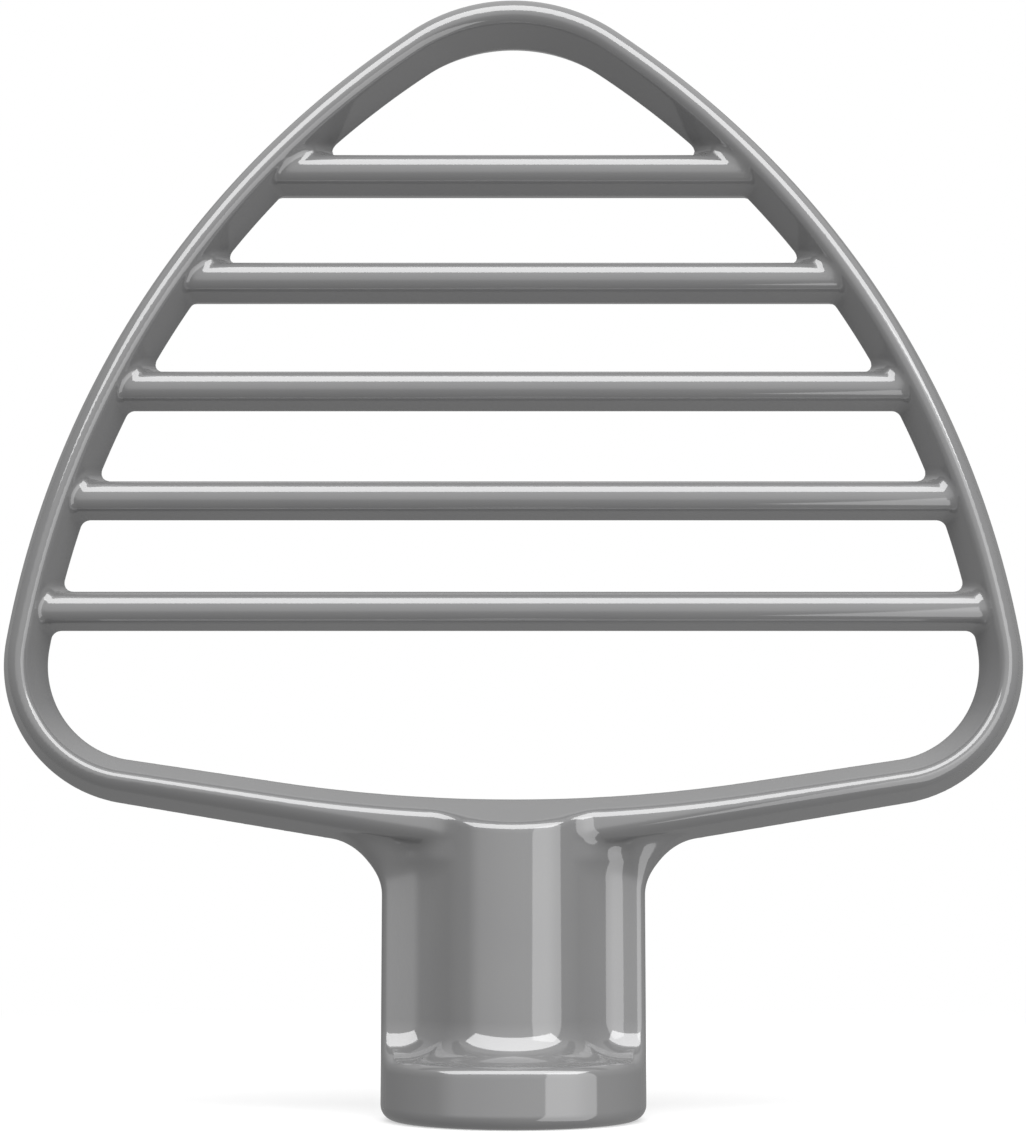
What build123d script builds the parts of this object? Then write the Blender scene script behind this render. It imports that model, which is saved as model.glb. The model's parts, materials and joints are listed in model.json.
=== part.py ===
from build123d import *
import os
from math import atan, atan2, cos, degrees, radians, sin, sqrt, tan

# A pastry beater for a stand mixer: one aluminium casting, standing on its hub end.
# It is mirrored front to back about the parting plane, so the front half is modelled first.
# Millimetres. X runs across the loop, -Y is the front and the shaft axis is Z.

# Loop, outer edge at the parting plane
LOOP_HALF_WIDTH = 66.4
LOOP_HEIGHT = 147.6
OUTER_TIP_RADIUS = 25.3
OUTER_SIDE_RADIUS = 122.5
OUTER_CORNER_RADIUS = 18.5
OUTER_SLOPE = 9.47
OUTER_VALLEY = 31.6
OUTER_VALLEY_RADIUS = 60.0

# Loop, inner edge: the rail's width beside, above and below the opening, and where the corner starts
RAIL_SIDE = 5.72
RAIL_TIP = 6.4
RAIL_BOTTOM = 6.7
RAIL_FOOT = 5.82
INNER_TIP_RADIUS = 20.2
INNER_SIDE_RADIUS = 115.9
INNER_CORNER_RADIUS = 12.6
INNER_VALLEY_RADIUS = 208.0

# Rail section: walls drafted from the parting plane to a rounded nose
RAIL_HALF_DEPTH = 6.45
RAIL_DRAFT = 17.3
RAIL_NOSE_RADIUS = 1.1

# Cross bars
BAR_COUNT = 5
BAR_LOWEST = 65.06
BAR_TIP_GAP = 24.12
BAR_HALF_HEIGHT = 2.57
BAR_HALF_DEPTH = 4.6
BAR_DRAFT = 10.5
BAR_ROOT_RADIUS = 1.3

# Hub: a collar with a boss and two side webs above it
COLLAR_RADIUS = 16.93
COLLAR_HEIGHT = 7.6
COLLAR_FOOT_RADIUS = 1.9
BOSS_RADIUS = 10.0
BOSS_FLAT = 1.2
BOSS_HEAD_RADIUS = 4.0
WEB_HALF_THICKNESS = 1.9
WEB_ROOT_RADIUS = 5.5
WEB_FLARE_START = 27.8
WEB_FLARE_RADIUS = 7.85
POCKET_FLOOR_RADIUS = 5.0
POCKET_RIM_RADIUS = 1.0
GUSSET_RADIUS = 6.9
GUSSET_DEPTH = 4.0
GUSSET_TURN = 51.0
FLARE_FADE = 10.0

# Shaft bore, with a bayonet slot for the drive pin
SHAFT_RADIUS = 6.35
SHAFT_CLEARANCE = 0.1
BORE_DEPTH = 33.0
BORE_MOUTH = 0.8
PIN_WIDTH = 4.8
PIN_CLEARANCE = 0.2
SLOT_RADIUS = 9.3
SLOT_FLOOR = 9.2
SLOT_TURN = 50.0
SEAT_DROP = 0.8

# Heights and reaches worked out from the sizes above
BORE_RADIUS = SHAFT_RADIUS + SHAFT_CLEARANCE
SLOT_WIDTH = PIN_WIDTH + 2 * PIN_CLEARANCE
BOSS_FRONT = BOSS_RADIUS + BOSS_FLAT
BAR_PITCH = (LOOP_HEIGHT - BAR_TIP_GAP - BAR_LOWEST) / (BAR_COUNT - 1)
FOOT_X = LOOP_HALF_WIDTH - OUTER_CORNER_RADIUS
INNER_SLOPE = degrees(atan(tan(radians(OUTER_SLOPE)) - (RAIL_BOTTOM - RAIL_FOOT) / FOOT_X))
REACH = 2 * COLLAR_RADIUS
PAST = 1.0

# Roundings are limited by the walls that they stand on
NOSE_FLAT = min(RAIL_SIDE, RAIL_FOOT, RAIL_TIP) - 2 * RAIL_HALF_DEPTH * tan(radians(RAIL_DRAFT))
NOSE_LIMIT = NOSE_FLAT / (2 * tan(radians(45 - RAIL_DRAFT / 2)))
NOSE_RADIUS = min(RAIL_NOSE_RADIUS, 0.97 * NOSE_LIMIT)
ROOT_RADIUS = min(WEB_ROOT_RADIUS, COLLAR_RADIUS - BOSS_RADIUS - POCKET_RIM_RADIUS)


def loop_face(half_width, corner_radius, tip_height, tip_radius, side_radius, slope, valley, valley_radius):
    """Face inside one edge of the loop: arcs round the tip, side, corner and valley, and one straight."""
    rise = tan(radians(slope))
    corner_x = half_width - corner_radius
    corner_y = valley + corner_x * rise + corner_radius / cos(radians(slope))
    tip_y = tip_height - tip_radius
    # The side arc holds the tip and corner arcs inside it, so its centre is set by both
    to_tip = side_radius - tip_radius
    to_corner = side_radius - corner_radius
    span = sqrt(corner_x**2 + (corner_y - tip_y) ** 2)
    along = (to_tip**2 - to_corner**2 + span**2) / (2 * span)
    across = sqrt(to_tip**2 - along**2)
    unit_x = corner_x / span
    unit_y = (corner_y - tip_y) / span
    side_x = unit_x * along + unit_y * across
    side_y = tip_y + unit_y * along - unit_x * across
    tip_end = degrees(atan2(tip_y - side_y, -side_x))
    side_end = degrees(atan2(corner_y - side_y, corner_x - side_x))
    foot = slope - 90
    with BuildSketch(Plane.XZ) as face:
        with BuildLine():
            CenterArc((0, tip_y), tip_radius, 90, tip_end - 90)
            CenterArc((side_x, side_y), side_radius, tip_end, side_end - tip_end)
            bend = CenterArc((corner_x, corner_y), corner_radius, side_end, foot - side_end)
            valley_y = valley + valley_radius / cos(radians(slope))
            dip = CenterArc((0, valley_y), valley_radius, foot, -slope)
            Line(bend @ 1, dip @ 0)
            mirror(about=Plane.YZ)
        make_face()
    return face.sketch


def outer_face():
    """Face inside the loop's outer edge."""
    return loop_face(
        LOOP_HALF_WIDTH,
        OUTER_CORNER_RADIUS,
        LOOP_HEIGHT,
        OUTER_TIP_RADIUS,
        OUTER_SIDE_RADIUS,
        OUTER_SLOPE,
        OUTER_VALLEY,
        OUTER_VALLEY_RADIUS,
    )


def inner_face(outward=0.0):
    """Face inside the loop's inner edge, or inside a line that lies outward of it in the rail."""
    return loop_face(
        LOOP_HALF_WIDTH - RAIL_SIDE + outward,
        INNER_CORNER_RADIUS + outward,
        LOOP_HEIGHT - RAIL_TIP + outward,
        INNER_TIP_RADIUS + outward,
        INNER_SIDE_RADIUS + outward,
        INNER_SLOPE,
        OUTER_VALLEY + RAIL_BOTTOM - outward,
        INNER_VALLEY_RADIUS + outward,
    )


def bar_face(height):
    """Front half of a bar's section: drafted walls that run into a full round nose."""
    draft = radians(BAR_DRAFT)
    nose = (BAR_HALF_HEIGHT * cos(draft) - BAR_HALF_DEPTH * sin(draft)) / (1 - sin(draft))
    with BuildSketch(Plane.YZ) as face:
        with BuildLine():
            centre = (nose - BAR_HALF_DEPTH, height)
            round_nose = CenterArc(centre, nose, 90 + BAR_DRAFT, 180 - 2 * BAR_DRAFT)
            Polyline(
                round_nose @ 0,
                (0, height + BAR_HALF_HEIGHT),
                (0, height - BAR_HALF_HEIGHT),
                round_nose @ 1,
            )
        make_face()
    return face.sketch


def front_disc(radius):
    """Front half of a disc about the shaft axis."""
    with BuildSketch() as disc:
        Circle(radius)
        Rectangle(2 * radius, radius, align=(Align.CENTER, Align.MIN), mode=Mode.SUBTRACT)
    return disc.sketch


def boss_face():
    """Front half of the boss: a round nose on short straight sides."""
    with BuildSketch() as boss:
        with Locations((0, -BOSS_FLAT)):
            Circle(BOSS_RADIUS)
        Rectangle(2 * BOSS_RADIUS, BOSS_FLAT, align=(Align.CENTER, Align.MAX))
        Rectangle(2 * REACH, REACH, align=(Align.CENTER, Align.MIN), mode=Mode.SUBTRACT)
    return boss.sketch


# Front half of the loop, with the head of the boss blended into its bottom rail
head_bottom = WEB_FLARE_START - BOSS_HEAD_RADIUS
head_top = OUTER_VALLEY + RAIL_BOTTOM + BOSS_RADIUS
with BuildPart() as loop_half:
    extrude(outer_face(), amount=RAIL_HALF_DEPTH, taper=RAIL_DRAFT)
    fillet(loop_half.faces().sort_by(Axis.Y)[0].edges(), NOSE_RADIUS)
    with BuildSketch(Plane.XY.offset(head_bottom)):
        add(boss_face())
    extrude(amount=head_top - head_bottom)
    seam = loop_half.edges(Select.NEW).filter_by(lambda edge: edge.center().Y < 0)
    fillet(seam.filter_by(lambda edge: edge.center().Z < head_top - PAST), BOSS_HEAD_RADIUS)

    # The opening is drafted like the rail, and cuts the boss head down to the same slope
    extrude(inner_face(), amount=BOSS_FRONT + PAST, taper=-RAIL_DRAFT, mode=Mode.SUBTRACT)
    rim = loop_half.edges(Select.NEW).filter_by(lambda edge: edge.center().Y < PAST - RAIL_HALF_DEPTH)
    fillet(rim, NOSE_RADIUS)

# Front half of the bars, cut off inside the rail
with BuildPart() as bar_half:
    for row in range(BAR_COUNT):
        extrude(bar_face(BAR_LOWEST + row * BAR_PITCH), amount=LOOP_HALF_WIDTH, both=True)
    extrude(inner_face(RAIL_SIDE / 2), amount=RAIL_HALF_DEPTH, mode=Mode.INTERSECT)

# Front half of the hub: webs and boss rise from the collar and are trimmed to one round outline
web_top = OUTER_VALLEY + RAIL_BOTTOM
flare_x = COLLAR_RADIUS + WEB_FLARE_RADIUS
rim_reach = flare_x + GUSSET_DEPTH
with BuildPart() as hub_half:
    with BuildSketch():
        add(front_disc(REACH))
    extrude(amount=COLLAR_HEIGHT)
    with BuildSketch() as stem:
        add(boss_face())
        Rectangle(2 * REACH, WEB_HALF_THICKNESS, align=(Align.CENTER, Align.MAX))
        roots = stem.vertices().filter_by(lambda corner: abs(abs(corner.X) - BOSS_RADIUS) < PAST / 2)
        fillet(roots.filter_by(lambda corner: corner.Y < -PAST / 2), ROOT_RADIUS)
    extrude(amount=OUTER_VALLEY + PAST)
    floor = hub_half.edges().filter_by_position(Axis.Z, COLLAR_HEIGHT, COLLAR_HEIGHT)
    fillet(floor.filter_by_position(Axis.Y, -BOSS_FRONT, -PAST / 2), POCKET_FLOOR_RADIUS)

    # The webs alone go on up into the rail, and a gusset curves each one's face out into the underside
    with BuildSketch():
        Rectangle(2 * REACH, WEB_HALF_THICKNESS, align=(Align.CENTER, Align.MAX))
    extrude(amount=web_top)
    gusset_plane = Plane(
        origin=(0, 0, OUTER_VALLEY),
        x_dir=(0, 1, 0),
        z_dir=(cos(radians(OUTER_SLOPE)), 0, sin(radians(OUTER_SLOPE))),
    )
    with BuildSketch(gusset_plane):
        with BuildLine():
            curve_x = -WEB_HALF_THICKNESS - GUSSET_RADIUS
            curve = CenterArc((curve_x, -GUSSET_DEPTH), GUSSET_RADIUS, 0, GUSSET_TURN)
            gusset_top = ((curve @ 1).X, GUSSET_DEPTH)
            Polyline(curve @ 1, gusset_top, (0, GUSSET_DEPTH), (0, -GUSSET_DEPTH), curve @ 0)
        make_face()
    gusset = extrude(amount=REACH)
    mirror(gusset, about=Plane.YZ)

    # The round outline: straight up the collar and webs, then flaring into the rail
    with BuildSketch(Plane.XZ):
        with BuildLine():
            flare = CenterArc((flare_x, WEB_FLARE_START), WEB_FLARE_RADIUS, 180, OUTER_SLOPE - 90)
            fade = tan(radians(OUTER_SLOPE + FLARE_FADE))
            fade_top = (flare @ 1).Y + (REACH + REACH - (flare @ 1).X) * fade
            Polyline(
                flare @ 1, (2 * REACH, fade_top), (0, fade_top), (0, 0), (COLLAR_RADIUS, 0), flare @ 0
            )
        make_face()
    revolve(axis=Axis.Z, mode=Mode.INTERSECT)
    rim = hub_half.edges(Select.NEW).filter_by_position(Axis.X, -rim_reach, rim_reach)
    rim = rim.filter_by(lambda edge: edge.center().Y < PAST / 2 - WEB_HALF_THICKNESS)
    fillet(rim, POCKET_RIM_RADIUS)
    foot = hub_half.edges().filter_by_position(Axis.Z, 0, 0).filter_by(GeomType.CIRCLE)
    fillet(foot, COLLAR_FOOT_RADIUS)

# Front half of the whole casting
with BuildPart() as front_half:
    add(loop_half)
    add(bar_half)
    roots = front_half.edges(Select.NEW).filter_by(lambda edge: edge.center().Y < 0)
    fillet(roots, BAR_ROOT_RADIUS)
    add(hub_half)

# The casting, with its bore and bayonet slot
with BuildPart() as beater_casting:
    add(front_half)
    mirror(about=Plane.XZ)
    with BuildSketch():
        Circle(BORE_RADIUS)
    extrude(amount=BORE_DEPTH, mode=Mode.SUBTRACT)
    # The pin goes up a straight groove, turns with the shaft and drops into its seat
    with BuildSketch():
        Rectangle(SLOT_RADIUS, SLOT_WIDTH, align=(Align.MIN, Align.CENTER))
    extrude(amount=SLOT_FLOOR, mode=Mode.SUBTRACT)
    turn_bottom = SLOT_FLOOR - SLOT_WIDTH
    with BuildSketch(Plane.XZ):
        with Locations((0, turn_bottom)):
            Rectangle(SLOT_RADIUS, SLOT_WIDTH, align=(Align.MIN, Align.MIN))
    revolve(axis=Axis.Z, revolution_arc=SLOT_TURN, mode=Mode.SUBTRACT)
    with BuildSketch(Plane.XY.offset(turn_bottom - SEAT_DROP).rotated((0, 0, SLOT_TURN))):
        Rectangle(SLOT_RADIUS, SLOT_WIDTH, align=(Align.MIN, Align.CENTER))
    extrude(amount=SLOT_WIDTH + SEAT_DROP, mode=Mode.SUBTRACT)
    mouth = beater_casting.edges().filter_by(GeomType.CIRCLE).filter_by_position(Axis.Z, 0, 0)
    mouth = mouth.filter_by(lambda edge: edge.radius < COLLAR_RADIUS / 2)
    chamfer(mouth, BORE_MOUTH)

beater_casting.part.label = "beater_casting"
os.makedirs("parts", exist_ok=True)
export_step(beater_casting.part, "parts/beater_casting.step")
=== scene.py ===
"""A pastry beater for a stand mixer: one coated aluminium casting, on a white studio floor."""

import json
import logging
import math
from dataclasses import dataclass, field

import bmesh
import bpy
import numpy as np
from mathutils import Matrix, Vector

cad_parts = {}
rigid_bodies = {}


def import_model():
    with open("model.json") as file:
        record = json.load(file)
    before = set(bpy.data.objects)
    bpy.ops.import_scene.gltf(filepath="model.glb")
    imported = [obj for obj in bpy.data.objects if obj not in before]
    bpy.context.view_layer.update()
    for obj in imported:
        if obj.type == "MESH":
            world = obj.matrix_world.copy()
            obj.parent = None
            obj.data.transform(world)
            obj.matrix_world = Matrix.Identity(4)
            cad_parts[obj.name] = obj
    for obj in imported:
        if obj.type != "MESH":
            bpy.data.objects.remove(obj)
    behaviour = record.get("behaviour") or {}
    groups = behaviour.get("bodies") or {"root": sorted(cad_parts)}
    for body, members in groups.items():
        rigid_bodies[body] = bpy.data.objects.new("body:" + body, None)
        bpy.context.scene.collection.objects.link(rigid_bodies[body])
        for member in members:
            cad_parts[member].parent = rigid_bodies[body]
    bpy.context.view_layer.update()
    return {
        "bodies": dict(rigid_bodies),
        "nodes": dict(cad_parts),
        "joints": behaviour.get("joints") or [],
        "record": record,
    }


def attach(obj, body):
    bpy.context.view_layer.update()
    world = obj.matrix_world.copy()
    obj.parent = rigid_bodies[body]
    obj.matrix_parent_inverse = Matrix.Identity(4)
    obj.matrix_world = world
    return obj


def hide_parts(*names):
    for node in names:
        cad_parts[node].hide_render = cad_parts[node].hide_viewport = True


log = logging.getLogger("pastry_beater")

MM = 0.001
WHITE = (1, 1, 1, 1)
# Beyond any distance that is measured, and below any slope that counts
FAR = 1e3
TINY = 1e-6

Depths = np.ndarray
Socket = bpy.types.NodeSocket
Corners = list[tuple[float, float]]


def linear(hex_colour: str) -> tuple[float, float, float, float]:
    """Turn an sRGB hex colour into linear RGBA.

    Args:
        hex_colour: Six hex digits, with or without a leading hash.

    Returns:
        Linear red, green and blue, with an alpha of 1.
    """
    digits = hex_colour.lstrip("#")
    channels = [int(digits[i : i + 2], 16) / 255 for i in (0, 2, 4)]
    red, green, blue = (
        c / 12.92 if c <= 0.04045 else ((c + 0.055) / 1.055) ** 2.4 for c in channels
    )
    return red, green, blue, 1.0


def add_node(
    tree: bpy.types.NodeTree,
    kind: str,
    settings: dict[str, object] | None = None,
    inputs: dict[str | int, object] | None = None,
) -> bpy.types.Node:
    """Add one node with its settings, values and links.

    Args:
        tree: Node tree that takes the node.
        kind: Blender's type name of the node.
        settings: Node attributes by name.
        inputs: Socket values by name or number; an output socket is linked instead.

    Returns:
        The new node.
    """
    node = tree.nodes.new(kind)
    for name, value in (settings or {}).items():
        setattr(node, name, value)
    for key, value in (inputs or {}).items():
        if isinstance(value, Socket):
            tree.links.new(value, node.inputs[key])
        else:
            node.inputs[key].default_value = value
    return node


def combine(
    tree: bpy.types.NodeTree, operation: str, first: Socket | float, second: Socket | float
) -> Socket:
    """Join two numbers with one operation.

    Args:
        tree: Node tree that takes the node.
        operation: Blender's name of the operation.
        first: The first number or socket.
        second: The second number or socket.

    Returns:
        The result's socket.
    """
    inputs = {0: first, 1: second}
    return add_node(tree, "ShaderNodeMath", {"operation": operation}, inputs).outputs[0]


def direction(
    tree: bpy.types.NodeTree, operation: str, first: Socket, second: tuple | None = None
) -> bpy.types.NodeOutputs:
    """Apply one vector operation.

    Args:
        tree: Node tree that takes the node.
        operation: Blender's name of the operation.
        first: The vector's socket.
        second: The other vector, where the operation takes two.

    Returns:
        The node's outputs: the vector, then the number.
    """
    inputs = {0: first} if second is None else {0: first, 1: second}
    return add_node(tree, "ShaderNodeVectorMath", {"operation": operation}, inputs).outputs


def ramp(
    tree: bpy.types.NodeTree,
    value: Socket,
    span: tuple[float, float],
    levels: tuple[float, float] = (0.0, 1.0),
) -> Socket:
    """Turn one value smoothly into another.

    Args:
        tree: Node tree that takes the node.
        value: The socket that is read.
        span: The values that give the first and the second level.
        levels: The two results.

    Returns:
        The result's socket.
    """
    inputs = {
        "Value": value,
        "From Min": span[0],
        "From Max": span[1],
        "To Min": levels[0],
        "To Max": levels[1],
    }
    settings = {"interpolation_type": "SMOOTHSTEP"}
    return add_node(tree, "ShaderNodeMapRange", settings, inputs).outputs[0]


def seen_rays(tree: bpy.types.NodeTree) -> Socket:
    """Tell rays from the camera, mirrored and refracted ones too, from all others.

    Args:
        tree: Node tree that takes the nodes.

    Returns:
        A socket that gives 1 for such a ray and 0 for any other.
    """
    path = add_node(tree, "ShaderNodeLightPath")
    seen = path.outputs["Is Camera Ray"]
    for kind in ("Is Glossy Ray", "Is Transmission Ray"):
        seen = combine(tree, "MAXIMUM", seen, path.outputs[kind])
    return seen


def new_material(name: str) -> tuple[bpy.types.Material, bpy.types.NodeTree]:
    """Start an empty node material.

    Args:
        name: The material's name.

    Returns:
        The material and its node tree.
    """
    material = bpy.data.materials.new(name)
    material.use_nodes = True
    material.node_tree.nodes.clear()
    return material, material.node_tree


def add_object(name: str, data: bpy.types.ID) -> bpy.types.Object:
    """Put a mesh, lamp or camera into the scene.

    Args:
        name: The object's name.
        data: What the object shows.

    Returns:
        The linked object.
    """
    obj = bpy.data.objects.new(name, data)
    bpy.context.scene.collection.objects.link(obj)
    return obj


def add_mesh(name: str, built: bmesh.types.BMesh) -> bpy.types.Object:
    """Turn a bmesh into an object of the scene, and free it.

    Args:
        name: The object's and the mesh's name.
        built: The finished bmesh.

    Returns:
        The linked object.
    """
    mesh = bpy.data.meshes.new(name)
    built.to_mesh(mesh)
    built.free()
    return add_object(name, mesh)


def round_solid(name: str, rings: Corners, steps: int) -> bpy.types.Object:
    """Make a closed round solid about the shaft axis.

    Args:
        name: The object's name.
        rings: Height and radius of each ring in millimetres, from the bottom up.
        steps: Corners round each ring.

    Returns:
        The solid, its faces pointing outwards.
    """
    built = bmesh.new()
    turns = [2 * math.pi * i / steps for i in range(steps)]
    loops = []
    for height, radius in rings:
        places = [(radius * math.cos(t) * MM, radius * math.sin(t) * MM) for t in turns]
        loops.append([built.verts.new((x, y, height * MM)) for x, y in places])
    for low, high in zip(loops, loops[1:]):
        for i in range(steps):
            j = (i + 1) % steps
            built.faces.new((low[i], low[j], high[j], high[i]))
    built.faces.new(reversed(loops[0]))
    built.faces.new(loops[-1])
    bmesh.ops.recalc_face_normals(built, faces=built.faces)
    return add_mesh(name, built)


def add_prism(built: bmesh.types.BMesh, outline: Corners, low: float, high: float) -> None:
    """Add an upright prism.

    Args:
        built: The bmesh that takes it.
        outline: Its corners in millimetres, counter-clockwise.
        low: Its bottom's height in millimetres.
        high: Its top's height in millimetres.
    """
    below = [built.verts.new((a * MM, b * MM, low * MM)) for a, b in outline]
    above = [built.verts.new((a * MM, b * MM, high * MM)) for a, b in outline]
    built.faces.new(reversed(below))
    built.faces.new(above)
    for i in range(len(outline)):
        j = (i + 1) % len(outline)
        built.faces.new((below[i], below[j], above[j], above[i]))


def read_all(
    items: bpy.types.bpy_prop_collection, attribute: str, width: int, kind: type
) -> np.ndarray:
    """Read one attribute of all of a mesh's items.

    Args:
        items: The mesh's vertices, edges, corners or faces.
        attribute: The attribute's name.
        width: How many numbers it holds for each item.
        kind: The numbers' type.

    Returns:
        One row for each item, or one number where the width is 1.
    """
    flat = np.empty(len(items) * width, kind)
    items.foreach_get(attribute, flat)
    return flat.reshape(-1, width) if width > 1 else flat


@dataclass(frozen=True)
class PowderCoatFinish:
    """Gloss silver-grey powder coat over cast aluminium.

    The melted powder levels to a skin with a faint orange peel, so lamps mirror in it with
    crisp edges. Its fine aluminium flake mirrors more than plain paint does, while the grey
    below stays even.
    """

    name: str = "gloss_powder_coat"
    colour: str = "#8b8b8b"
    thin_colour: str = "#878788"
    flake: float = 0.4
    roughness: float = 0.07
    ior: float = 1.5
    peel_size: float = 1.6 * MM
    peel_height: float = 0.0012 * MM
    peel_detail: float = 1.0
    mottle_size: float = 9.0 * MM
    mottle_detail: float = 3.0

    def build(self) -> bpy.types.Material:
        """Build the coat's material.

        Returns:
            The material.
        """
        material, tree = new_material(self.name)
        place = add_node(tree, "ShaderNodeTexCoord").outputs["Object"]
        mottle = add_node(
            tree,
            "ShaderNodeTexNoise",
            inputs={"Vector": place, "Scale": 1 / self.mottle_size, "Detail": self.mottle_detail},
        )
        colour = add_node(
            tree,
            "ShaderNodeMix",
            {"data_type": "RGBA"},
            {0: mottle.outputs[0], 6: linear(self.thin_colour), 7: linear(self.colour)},
        )
        peel = add_node(
            tree,
            "ShaderNodeTexNoise",
            inputs={"Vector": place, "Scale": 1 / self.peel_size, "Detail": self.peel_detail},
        )
        bump = add_node(
            tree,
            "ShaderNodeBump",
            inputs={"Height": peel.outputs[0], "Distance": self.peel_height, "Strength": 1.0},
        )
        skin = add_node(
            tree,
            "ShaderNodeBsdfPrincipled",
            inputs={
                "Base Color": colour.outputs[2],
                "Metallic": self.flake,
                "Roughness": self.roughness,
                "IOR": self.ior,
                "Normal": bump.outputs[0],
            },
        )
        add_node(tree, "ShaderNodeOutputMaterial", inputs={"Surface": skin.outputs[0]})
        return material


def swept(first: Depths, second: Depths, radius: Depths | float) -> Depths:
    """Join two solids with a concave fillet.

    Args:
        first: Signed distances to one solid, negative inside.
        second: Signed distances to the other solid.
        radius: The fillet's radius, one value or one for each point.

    Returns:
        Signed distances to the joined solid.
    """
    near = np.hypot(np.maximum(radius - first, 0), np.maximum(radius - second, 0))
    return np.maximum(radius, np.minimum(first, second)) - near


def trimmed(first: Depths, second: Depths, radius: Depths | float) -> Depths:
    """Keep what two solids share, with a convex rounding.

    Args:
        first: Signed distances to one solid, negative inside.
        second: Signed distances to the other solid.
        radius: The rounding's radius, one value or one for each point.

    Returns:
        Signed distances to the shared solid.
    """
    near = np.hypot(np.maximum(radius + first, 0), np.maximum(radius + second, 0))
    return np.minimum(-radius, np.maximum(first, second)) + near


def eased(share: np.ndarray) -> np.ndarray:
    """Clip shares to 0..1 and smooth their ends."""
    share = np.clip(share, 0, 1)
    return share * share * (3 - 2 * share)


@dataclass(frozen=True)
class Outline:
    """One edge of the loop at the parting plane: tip, side, corner, straight foot and valley."""

    half_width: float
    corner: float
    height: float
    tip: float
    side: float
    slope: float
    valley: float
    valley_radius: float

    def arcs(self) -> tuple[tuple[float, float, float, float, float], ...]:
        """Work out the edge's arcs, from the tip down to the valley.

        The side arc holds the tip and corner arcs inside it, so its centre is set by both.

        Returns:
            Each arc's centre across and up, its radius, and its ends' directions in radians.
        """
        lean = math.radians(self.slope)
        corner_x = self.half_width - self.corner
        corner_z = self.valley + corner_x * math.tan(lean) + self.corner / math.cos(lean)
        tip_z = self.height - self.tip
        to_tip = self.side - self.tip
        to_corner = self.side - self.corner
        span = math.hypot(corner_x, corner_z - tip_z)
        along = (to_tip**2 - to_corner**2 + span**2) / (2 * span)
        across = math.sqrt(to_tip**2 - along**2)
        unit_x = corner_x / span
        unit_z = (corner_z - tip_z) / span
        side_x = unit_x * along + unit_z * across
        side_z = tip_z + unit_z * along - unit_x * across
        tip_turn = math.atan2(tip_z - side_z, -side_x)
        side_turn = math.atan2(corner_z - side_z, corner_x - side_x)
        foot_turn = lean - math.pi / 2
        valley_z = self.valley + self.valley_radius / math.cos(lean)
        return (
            (0.0, tip_z, self.tip, tip_turn, math.pi),
            (side_x, side_z, self.side, side_turn, tip_turn),
            (corner_x, corner_z, self.corner, foot_turn, side_turn),
            (0.0, valley_z, self.valley_radius, -math.pi, foot_turn),
        )

    def measure(self, x: np.ndarray, z: np.ndarray) -> tuple[Depths, np.ndarray]:
        """Measure how far points lie outside the edge.

        Args:
            x: Distances across the loop in millimetres.
            z: Heights in millimetres.

        Returns:
            Signed distances, negative inside the edge, and how much each grows per millimetre up.
        """
        x = np.abs(x)
        best = np.full(x.shape, FAR)
        climb = np.zeros(x.shape)
        for centre_x, centre_z, radius, low, high in self.arcs():
            turn = np.arctan2(z - centre_z, x - centre_x)
            gap = np.hypot(x - centre_x, z - centre_z) - radius
            nearer = (turn >= low) & (turn <= high) & (np.abs(gap) < np.abs(best))
            best = np.where(nearer, gap, best)
            climb = np.where(nearer, np.sin(turn), climb)
        lean = math.radians(self.slope)
        foot_x = x * math.cos(lean) + (z - self.valley) * math.sin(lean)
        gap = x * math.sin(lean) - (z - self.valley) * math.cos(lean)
        start = self.valley_radius * math.tan(lean)
        corner_x = self.half_width - self.corner
        end = corner_x / math.cos(lean) + self.corner * math.tan(lean)
        nearer = (foot_x >= start) & (foot_x <= end) & (np.abs(gap) < np.abs(best))
        return np.where(nearer, gap, best), np.where(nearer, -math.cos(lean), climb)


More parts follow.
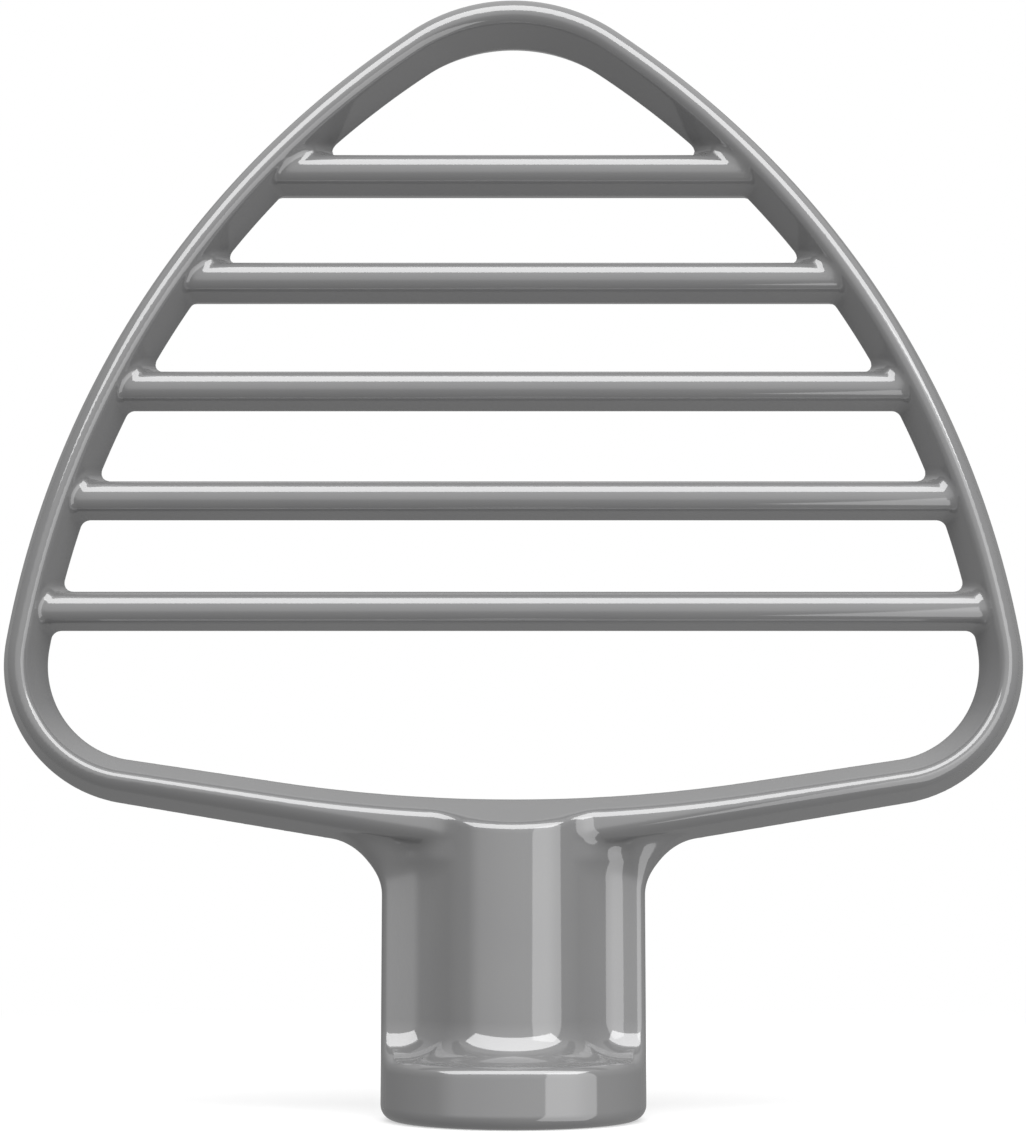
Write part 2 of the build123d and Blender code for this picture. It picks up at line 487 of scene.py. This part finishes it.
@dataclass(frozen=True)
class CastForm:
    """The casting's outer form in millimetres, as distances to its skin.

    Every junction is a cast fillet, so the skin has no sharp inner corner anywhere.
    """

    outer: Outline = Outline(66.4, 18.5, 147.6, 25.3, 122.5, 9.47, 31.6, 60.0)
    inner: Outline = Outline(60.68, 12.6, 141.2, 20.2, 115.9, 8.44, 38.3, 208.0)
    parting: float = 0.3
    rail_half_depth: float = 6.45
    rail_draft: float = 17.3
    rail_nose: float = 1.5
    rail_crown: float = 9.0
    crown_reach: float = 3.0
    bar_count: int = 5
    bar_lowest: float = 65.06
    bar_pitch: float = 14.605
    bar_half_height: float = 2.57
    bar_half_depth: float = 4.6
    bar_draft: float = 10.5
    bar_root: float = 1.3
    bar_root_least: float = 0.25
    bar_reach: float = 2.86
    collar_radius: float = 16.93
    collar_height: float = 7.6
    collar_rim: float = 1.25
    collar_foot: float = 1.9
    boss_radius: float = 10.0
    boss_flat: float = 1.2
    boss_blend: float = 4.2
    boss_rim_blend: float = 2.0
    boss_rim_start: float = 32.5
    boss_rim_ease: float = 3.0
    web_half_thickness: float = 1.9
    web_root: float = 4.9
    web_blend: float = 6.6
    web_blend_start: float = 13.0
    web_blend_ease: float = 6.0
    web_blend_half_depth: float = 2.5
    web_blend_depth_ease: float = 3.0
    pocket_floor: float = 5.0
    rim_radius: float = 1.05
    hub_top: float = 60.0

    def hub(self, x: np.ndarray, y: np.ndarray, z: np.ndarray) -> Depths:
        """Measure the hub: collar, boss and webs, running on up past the loop's opening.

        Args:
            x: Distances across the loop in millimetres.
            y: Distances behind the parting plane in millimetres.
            z: Heights in millimetres.

        Returns:
            Signed distances, negative inside the metal.
        """
        out = np.abs(y)
        boss = np.hypot(x, np.maximum(out - self.boss_flat, 0)) - self.boss_radius
        stem = swept(boss, out - self.web_half_thickness, self.web_root)
        pocketed = swept(stem, z - self.collar_height, self.pocket_floor)
        rounded = trimmed(pocketed, np.hypot(x, y) - self.collar_radius, self.collar_rim)
        return np.maximum(trimmed(rounded, -z, self.collar_foot), z - self.hub_top)

    def hub_blend(self, x: np.ndarray, y: np.ndarray, z: np.ndarray) -> np.ndarray:
        """Choose the fillet's radius between the hub and the loop.

        It is small where the boss ends under the loop's inner rim, and wide beside the webs.

        Args:
            x: Distances across the loop in millimetres.
            y: Distances behind the parting plane in millimetres.
            z: Heights in millimetres.

        Returns:
            The radius at each point.
        """
        rim = eased((z - self.boss_rim_start) / self.boss_rim_ease)
        beside = eased((np.abs(x) - self.web_blend_start) / self.web_blend_ease)
        off_web = eased((np.abs(y) - self.web_blend_half_depth) / self.web_blend_depth_ease)
        flare = beside * (1 - off_web)
        blend = self.boss_blend + (self.boss_rim_blend - self.boss_blend) * rim * (1 - flare)
        return blend + (self.web_blend - blend) * flare

    def bars(self, out: np.ndarray, z: np.ndarray) -> tuple[Depths, np.ndarray, np.ndarray]:
        """Measure the nearest bar, endlessly long.

        Args:
            out: Distances from the parting plane in millimetres.
            z: Heights in millimetres.

        Returns:
            Signed distances, and how much each grows per millimetre outwards and per millimetre up.
        """
        lean = math.radians(self.bar_draft)
        wall = self.bar_half_height * math.cos(lean) - self.bar_half_depth * math.sin(lean)
        nose = wall / (1 - math.sin(lean))
        nearest = np.clip(np.round((z - self.bar_lowest) / self.bar_pitch), 0, self.bar_count - 1)
        above = z - self.bar_lowest - nearest * self.bar_pitch
        rise = np.abs(above)
        ahead = out - (self.bar_half_depth - nose)
        turn = np.arctan2(rise, ahead)
        in_nose = turn < math.pi / 2 - lean
        flank = (rise - self.bar_half_height) * math.cos(lean) + out * math.sin(lean)
        section = np.where(in_nose, np.hypot(rise, ahead) - nose, flank)
        forward = np.where(in_nose, np.cos(turn), math.sin(lean))
        upward = np.where(in_nose, np.sin(turn), math.cos(lean)) * np.sign(above)
        return section, forward, upward

    def depth(self, points: np.ndarray) -> Depths:
        """Measure how far points lie outside the casting's skin.

        Args:
            points: An N by 3 array in millimetres.

        Returns:
            N signed distances, negative inside the metal.
        """
        x, y, z = points.T
        out = np.sqrt(y**2 + self.parting**2) - self.parting
        lean = math.radians(self.rail_draft)
        outer, _ = self.outer.measure(x, z)
        inner, climb = self.inner.measure(x, z)
        outside = outer * math.cos(lean) + out * math.sin(lean)
        opening = -inner * math.cos(lean) + out * math.sin(lean)
        middle = np.clip((outside - opening) / 2, -self.crown_reach, self.crown_reach)
        front = np.abs(y) - self.rail_half_depth + middle**2 / (2 * self.rail_crown)
        plate = trimmed(outside, front, self.rail_nose)
        whole = swept(plate, self.hub(x, y, z), self.hub_blend(x, y, z))
        loop = trimmed(whole, opening, self.rim_radius)
        section, forward, upward = self.bars(out, z)
        # A wider corner between bar and rail needs a smaller overlap for the same fillet radius.
        facing = math.sin(lean) * forward - math.cos(lean) * climb * upward
        root = np.maximum(self.bar_root * (1 - facing), self.bar_root_least)
        return swept(loop, np.maximum(section, inner - self.bar_reach), root)

    def slope(self, points: np.ndarray, step: float = 0.02) -> np.ndarray:
        """Find the direction straight out of the skin.

        Args:
            points: An N by 3 array in millimetres.
            step: Distance from each point to the two probes along each axis.

        Returns:
            An N by 3 array of distance change per millimetre.
        """
        columns = []
        for axis in np.eye(3) * step:
            columns.append((self.depth(points + axis) - self.depth(points - axis)) / (2 * step))
        return np.stack(columns, axis=1)


@dataclass(frozen=True)
class ShaftDrive:
    """The shaft bore and its bayonet slot in millimetres, as solids to cut from the hub."""

    bore_radius: float = 6.45
    bore_depth: float = 33.0
    bore_mouth: float = 0.8
    slot_radius: float = 9.3
    slot_width: float = 5.2
    slot_floor: float = 9.2
    slot_turn: float = 50.0
    seat_drop: float = 0.8
    overshoot: float = 1.0
    plug_margins: tuple[float, float] = (1.0, 0.2)
    plug_steps: int = 64
    bore_steps: int = 128
    arc_corners: int = 24
    end_corners: int = 9

    def plug(self) -> bpy.types.Object:
        """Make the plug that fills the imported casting's bore and slot.

        Returns:
            The plug.
        """
        foot, head = self.plug_margins
        top = self.bore_depth + self.overshoot
        rings = [(0.0, self.slot_radius + foot), (top, self.slot_radius + head)]
        return round_solid("plug", rings, self.plug_steps)

    def bore(self) -> bpy.types.Object:
        """Make the bore with its chamfered mouth.

        Returns:
            The cutter.
        """
        rings = [
            (-self.overshoot, self.bore_radius + self.bore_mouth + self.overshoot),
            (self.bore_mouth, self.bore_radius),
            (self.bore_depth, self.bore_radius),
        ]
        return round_solid("bore_cutter", rings, self.bore_steps)

    def slot(self) -> bpy.types.Object:
        """Make the slot's straight groove, its turn and the seat as one solid about the axis.

        Returns:
            The cutter.
        """
        built = bmesh.new()
        turn = math.radians(self.slot_turn)
        turn_bottom = self.slot_floor - self.slot_width
        sector = [(0.0, 0.0), *self.arc(0, turn, self.arc_corners)]
        add_prism(built, self.groove(0.0), -self.overshoot, self.slot_floor)
        add_prism(built, sector, turn_bottom, self.slot_floor)
        add_prism(built, self.groove(turn), turn_bottom - self.seat_drop, self.slot_floor)
        bmesh.ops.recalc_face_normals(built, faces=built.faces)
        return add_mesh("slot_cutter", built)

    def arc(self, start: float, end: float, corners: int) -> Corners:
        """Follow the slot's outer wall.

        Args:
            start: First direction in radians.
            end: Last direction in radians.
            corners: How many corners the arc has.

        Returns:
            The corners in millimetres.
        """
        turns = np.linspace(start, end, corners)
        return [(self.slot_radius * math.cos(t), self.slot_radius * math.sin(t)) for t in turns]

    def groove(self, turn: float) -> Corners:
        """Outline one straight groove from the axis to the slot's radius.

        Args:
            turn: Direction of the groove in radians.

        Returns:
            Corners in millimetres, counter-clockwise.
        """
        half = self.slot_width / 2
        edge = math.asin(half / self.slot_radius)
        flat = [(0.0, -half), *self.arc(-edge, edge, self.end_corners), (0.0, half)]
        cos, sin = math.cos(turn), math.sin(turn)
        return [(a * cos - b * sin, a * sin + b * cos) for a, b in flat]


@dataclass(frozen=True)
class Casting:
    """The beater's single casting, as a fine skin with the bore and bayonet slot cut in."""

    node: str = "beater_casting"
    name: str = "beater_skin"
    form: CastForm = field(default_factory=CastForm)
    drive: ShaftDrive = field(default_factory=ShaftDrive)
    finish: PowderCoatFinish = field(default_factory=PowderCoatFinish)
    weld: float = 0.001
    voxel: float = 0.43
    face_limit: int = 186000
    passes: int = 8
    even_passes: int = 6
    evening: float = 0.5
    step_limit: float = 0.5
    slope_limit: float = 0.3
    cut_depth: float = 0.05
    crease_cosine: float = 0.5

    def modified(
        self, obj: bpy.types.Object, modifiers: list[tuple[str, dict]]
    ) -> bpy.types.Object:
        """Replace an object by its mesh with modifiers applied.

        Args:
            obj: The object, which is removed.
            modifiers: Type and settings of each modifier.

        Returns:
            A new object with the plain mesh and the casting's name.
        """
        for kind, settings in modifiers:
            modifier = obj.modifiers.new(kind.lower(), kind)
            for name, value in settings.items():
                setattr(modifier, name, value)
        graph = bpy.context.evaluated_depsgraph_get()
        mesh = bpy.data.meshes.new_from_object(obj.evaluated_get(graph))
        bpy.data.objects.remove(obj)
        return add_object(self.name, mesh)

    def rough_skin(self, casting: bpy.types.Object) -> bpy.types.Object:
        """Wrap the casting, its bore plugged, in an even net of small faces.

        Args:
            casting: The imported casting.

        Returns:
            The net as an object.
        """
        plug = self.drive.plug()
        built = bmesh.new()
        built.from_mesh(casting.data)
        bmesh.ops.remove_doubles(built, verts=built.verts, dist=self.weld * MM)
        built.from_mesh(plug.data)
        bpy.data.objects.remove(plug)
        rough = add_mesh("rough", built)
        return self.modified(rough, [("REMESH", {"mode": "VOXEL", "voxel_size": self.voxel * MM})])

    def settle(self, mesh: bpy.types.Mesh) -> None:
        """Draw the net onto the cast form, keeping its faces even.

        Args:
            mesh: The net's mesh, which is moved in place.
        """
        points = read_all(mesh.vertices, "co", 3, np.float32).astype(float) / MM
        ends = read_all(mesh.edges, "vertices", 2, np.int32)
        links = np.bincount(ends.ravel(), minlength=len(points))[:, None]
        for turn in range(self.passes):
            slope = self.form.slope(points)
            length = np.linalg.norm(slope, axis=1, keepdims=True)
            normal = slope / np.maximum(length, TINY)
            reach = self.form.depth(points)[:, None] / np.maximum(length, self.slope_limit)
            points -= np.clip(reach, -self.step_limit, self.step_limit) * normal
            if turn < self.even_passes:
                total = np.zeros_like(points)
                np.add.at(total, ends[:, 0], points[ends[:, 1]])
                np.add.at(total, ends[:, 1], points[ends[:, 0]])
                pull = total / links - points
                pull -= (pull * normal).sum(axis=1, keepdims=True) * normal
                points += self.evening * pull
        mesh.vertices.foreach_set("co", (points * MM).astype(np.float32).ravel())
        mesh.update()
        farthest = float(np.abs(self.form.depth(points)).max())
        log.info("skin leaves the form by %.4f mm at most", farthest)

    def cut(self, skin: bpy.types.Object) -> bpy.types.Object:
        """Thin the net to its limit of faces, then cut the bore and the slot.

        Args:
            skin: The settled net, which is removed.

        Returns:
            The cut skin.
        """
        share = self.face_limit / (2 * len(skin.data.polygons))
        thin = {"ratio": min(1.0, share), "use_collapse_triangulate": True}
        skin = self.modified(skin, [("DECIMATE", thin)])
        bore, slot = self.drive.bore(), self.drive.slot()
        exact = {"operation": "DIFFERENCE", "solver": "EXACT"}
        cuts = [{**exact, "object": bore}, {**exact, "object": slot, "use_self": True}]
        skin = self.modified(skin, [("BOOLEAN", settings) for settings in cuts])
        bpy.data.objects.remove(bore)
        bpy.data.objects.remove(slot)
        return skin

    def smooth_normals(self, mesh: bpy.types.Mesh) -> None:
        """Give each skin corner the form's own direction, and leave the machined cuts crisp.

        Args:
            mesh: The finished mesh.
        """
        mesh.shade_smooth()
        points = read_all(mesh.vertices, "co", 3, np.float32).astype(float) / MM
        slope = self.form.slope(points)
        slope /= np.linalg.norm(slope, axis=1, keepdims=True)
        corner_vertex = read_all(mesh.loops, "vertex_index", 1, np.int32)
        sizes = read_all(mesh.polygons, "loop_total", 1, np.int32)
        face_of = np.repeat(np.arange(len(sizes)), sizes)
        face = read_all(mesh.polygons, "normal", 3, np.float32)[face_of]
        normals = slope[corner_vertex]
        off_form = np.abs(self.form.depth(points))[corner_vertex] > self.cut_depth
        turned = (normals * face).sum(axis=1) < self.crease_cosine
        machined = np.zeros(len(sizes), bool)
        np.logical_or.at(machined, face_of, off_form | turned)
        crisp = machined[face_of]
        normals[crisp] = face[crisp]
        mesh.normals_split_custom_set([tuple(n) for n in normals])

    def build(self, frame: dict) -> bpy.types.Object:
        """Build the skin, cut its bore and slot and dress it.

        Args:
            frame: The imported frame.

        Returns:
            The finished piece.
        """
        net = self.rough_skin(frame["nodes"][self.node])
        self.settle(net.data)
        skin = self.cut(net)
        self.smooth_normals(skin.data)
        skin.data.materials.clear()
        skin.data.materials.append(self.finish.build())
        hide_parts(self.node)
        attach(skin, "root")
        log.info("%s: %d faces", skin.name, len(skin.data.polygons))
        return skin


@dataclass(frozen=True)
class Softbox:
    """A square-edged studio lamp that faces the beater from a distance."""

    name: str
    azimuth: float
    elevation: float
    distance: float
    width: float
    height: float
    radiance: float
    mirrored: bool = True

    def build(self, target: Vector) -> None:
        """Hang the lamp and turn it to the target.

        Args:
            target: Point that the lamp faces.
        """
        lamp = bpy.data.lights.new(self.name, "AREA")
        lamp.shape = "RECTANGLE"
        lamp.size = self.width
        lamp.size_y = self.height
        lamp.energy = self.radiance * math.pi * self.width * self.height
        turn = math.radians(self.azimuth)
        rise = math.radians(self.elevation)
        across, behind = math.sin(turn) * math.cos(rise), -math.cos(turn) * math.cos(rise)
        away = Vector((across, behind, math.sin(rise)))
        obj = add_object(self.name, lamp)
        obj.location = target + away * self.distance
        obj.rotation_euler = away.to_track_quat("Z", "Y").to_euler()
        obj.visible_glossy = self.mirrored
        obj.visible_camera = False
        log.info("lamp %s", self.name)


def sines(degrees: tuple[float, float]) -> tuple[float, float]:
    """Give the sines of two angles in degrees."""
    return math.sin(math.radians(degrees[0])), math.sin(math.radians(degrees[1]))


def cosines(degrees: tuple[float, float]) -> tuple[float, float]:
    """Give the cosines of two angles in degrees."""
    return math.cos(math.radians(degrees[0])), math.cos(math.radians(degrees[1]))


@dataclass(frozen=True)
class LightTent:
    """A round cloth tent that is brightest in front of the beater and dim behind and below it.

    It carries the broad, soft light between the softboxes. The camera looks through it.
    Pairs are the two ends of a smooth change, in degrees except the back's, which are cosines.
    """

    radius: float = 1.6
    fineness: int = 4
    front: float = 0.78
    front_edge: tuple[float, float] = (72.0, 46.0)
    front_foot: tuple[float, float] = (-48.0, -14.0)
    side: float = 0.36
    back: float = 0.27
    back_edge: tuple[float, float] = (-0.95, 0.1)
    below: float = 0.38
    below_edge: tuple[float, float] = (-42.0, -12.0)
    above: float = 0.62
    above_rise: tuple[float, float] = (2.0, 52.0)

    def cloth(self) -> bpy.types.Material:
        """Build the glowing cloth, whose strength follows the direction from the tent's centre.

        Returns:
            The material.
        """
        material, tree = new_material("tent_cloth")
        material.cycles.emission_sampling = "NONE"
        place = add_node(tree, "ShaderNodeTexCoord").outputs["Object"]
        away = direction(tree, "NORMALIZE", place)[0]
        level = direction(tree, "MULTIPLY", away, (1, 1, 0))[0]
        level = direction(tree, "NORMALIZE", level)[0]
        ahead = direction(tree, "DOT_PRODUCT", level, (0, -1, 0))[1]
        rise = add_node(tree, "ShaderNodeSeparateXYZ", inputs={0: away}).outputs[2]
        side = ramp(tree, ahead, self.back_edge, (self.back, self.side))
        wide = ramp(tree, ahead, cosines(self.front_edge))
        tall = ramp(tree, rise, sines(self.front_foot))
        front = combine(tree, "MULTIPLY", wide, tall)
        front = combine(tree, "MULTIPLY", front, self.front - self.side)
        above = ramp(tree, rise, sines(self.above_rise), (0.0, self.above))
        sky = combine(tree, "MAXIMUM", combine(tree, "ADD", side, front), above)
        share = ramp(tree, rise, sines(self.below_edge))
        drop = combine(tree, "SUBTRACT", sky, self.below)
        strength = combine(tree, "ADD", combine(tree, "MULTIPLY", drop, share), self.below)
        glow = add_node(tree, "ShaderNodeEmission", inputs={"Color": WHITE, "Strength": strength})
        add_node(tree, "ShaderNodeOutputMaterial", inputs={"Surface": glow.outputs[0]})
        return material

    def build(self, target: Vector) -> None:
        """Put the tent up round the target.

        Args:
            target: The tent's centre.
        """
        built = bmesh.new()
        bmesh.ops.create_icosphere(built, subdivisions=self.fineness, radius=self.radius)
        tent = add_mesh("tent", built)
        tent.location = target
        tent.data.materials.append(self.cloth())
        tent.visible_camera = False
        tent.visible_shadow = False
        log.info("tent")


@dataclass(frozen=True)
class Floor:
    """Plain white floor that shows the beater's shadow to the camera."""

    size: float = 2.6
    drop: float = 0.02 * MM
    colour: str = "#f7f7f7"
    paper_white: float = 0.5
    shadow_reach: tuple[float, float] = (0.06, 0.3)

    def paper(self) -> bpy.types.Material:
        """Build the paper, which turns plain white beyond the shadow's reach.

        Returns:
            The material.
        """
        material, tree = new_material("white_paper")
        seen = seen_rays(tree)
        place = add_node(tree, "ShaderNodeTexCoord").outputs["Object"]
        reach = direction(tree, "LENGTH", place)[1]
        white_share = ramp(tree, reach, self.shadow_reach, (self.paper_white, 1.0))
        share = combine(tree, "MULTIPLY", seen, white_share)
        sheet = add_node(tree, "ShaderNodeBsdfDiffuse", inputs={"Color": linear(self.colour)})
        white = add_node(tree, "ShaderNodeEmission", inputs={"Color": WHITE, "Strength": 1.0})
        layers = {0: share, 1: sheet.outputs[0], 2: white.outputs[0]}
        mix = add_node(tree, "ShaderNodeMixShader", inputs=layers)
        add_node(tree, "ShaderNodeOutputMaterial", inputs={"Surface": mix.outputs[0]})
        return material

    def build(self) -> None:
        """Lay the floor."""
        built = bmesh.new()
        bmesh.ops.create_grid(built, x_segments=1, y_segments=1, size=self.size / 2)
        floor = add_mesh("floor", built)
        floor.data.materials.append(self.paper())
        floor.location = (0, 0, -self.drop)
        # The beater gets none of the paper's bounce: its underside is dark in the photograph.
        floor.visible_diffuse = False
        floor.visible_glossy = False
        floor.visible_shadow = False
        log.info("floor")


@dataclass
class Studio:
    """White floor, light tent, lamps and the camera at the photograph's angle."""

    camera_distance: float = 327.06 * MM
    camera_height: float = 28.81 * MM
    camera_pitch: float = 7.334
    lens: float = 79.93
    sensor: float = 36.0
    axis_shift: float = -0.0004
    nearest_seen: float = 10 * MM
    target: Vector = field(default_factory=lambda: Vector((0, 0, 70 * MM)))
    floor: Floor = field(default_factory=Floor)
    tent: LightTent = field(default_factory=LightTent)
    lamps: tuple[Softbox, ...] = (
        Softbox("key_softbox", 0, 56, 0.7, 2.0, 0.57, 3.2),
        Softbox("right_softbox", 49, -12, 0.17, 0.135, 0.34, 1.1),
        Softbox("back_scrim", 180, 8, 1.0, 0.9, 0.9, 3.6, mirrored=False),
    )

    def build_world(self) -> None:
        """Make the world plain white to the camera. The tent hides it from the beater."""
        world = bpy.data.worlds.new("studio")
        world.use_nodes = True
        tree = world.node_tree
        tree.nodes.clear()
        inputs = {"Color": WHITE, "Strength": seen_rays(tree)}
        white = add_node(tree, "ShaderNodeBackground", inputs=inputs)
        add_node(tree, "ShaderNodeOutputWorld", inputs={"Surface": white.outputs[0]})
        bpy.context.scene.world = world

    def build_camera(self) -> None:
        """Set the camera at the photograph's viewpoint."""
        camera = bpy.data.cameras.new("main")
        camera.lens = self.lens
        camera.sensor_fit = "AUTO"
        camera.sensor_width = self.sensor
        camera.shift_x = self.axis_shift
        camera.clip_start = self.nearest_seen
        obj = add_object("main", camera)
        obj.location = (0, -self.camera_distance, self.camera_height)
        obj.rotation_euler = (math.radians(90 + self.camera_pitch), 0, 0)
        bpy.context.scene.camera = obj

    def build(self) -> None:
        """Build the world, floor, tent, lamps and camera."""
        self.build_world()
        self.floor.build()
        self.tent.build(self.target)
        for lamp in self.lamps:
            lamp.build(self.target)
        self.build_camera()
        bpy.context.scene.view_settings.view_transform = "Standard"


def corners(box: tuple) -> list[list[float]]:
    """Turn a box's two corners into plain lists."""
    return [[float(value) for value in corner] for corner in box]


def main() -> None:
    """Build the beater and its studio."""
    logging.basicConfig(level=logging.INFO, format="%(name)s: %(message)s")
    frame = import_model()
    Casting().build(frame)
    Studio().build()


if __name__ == "__main__":
    main()
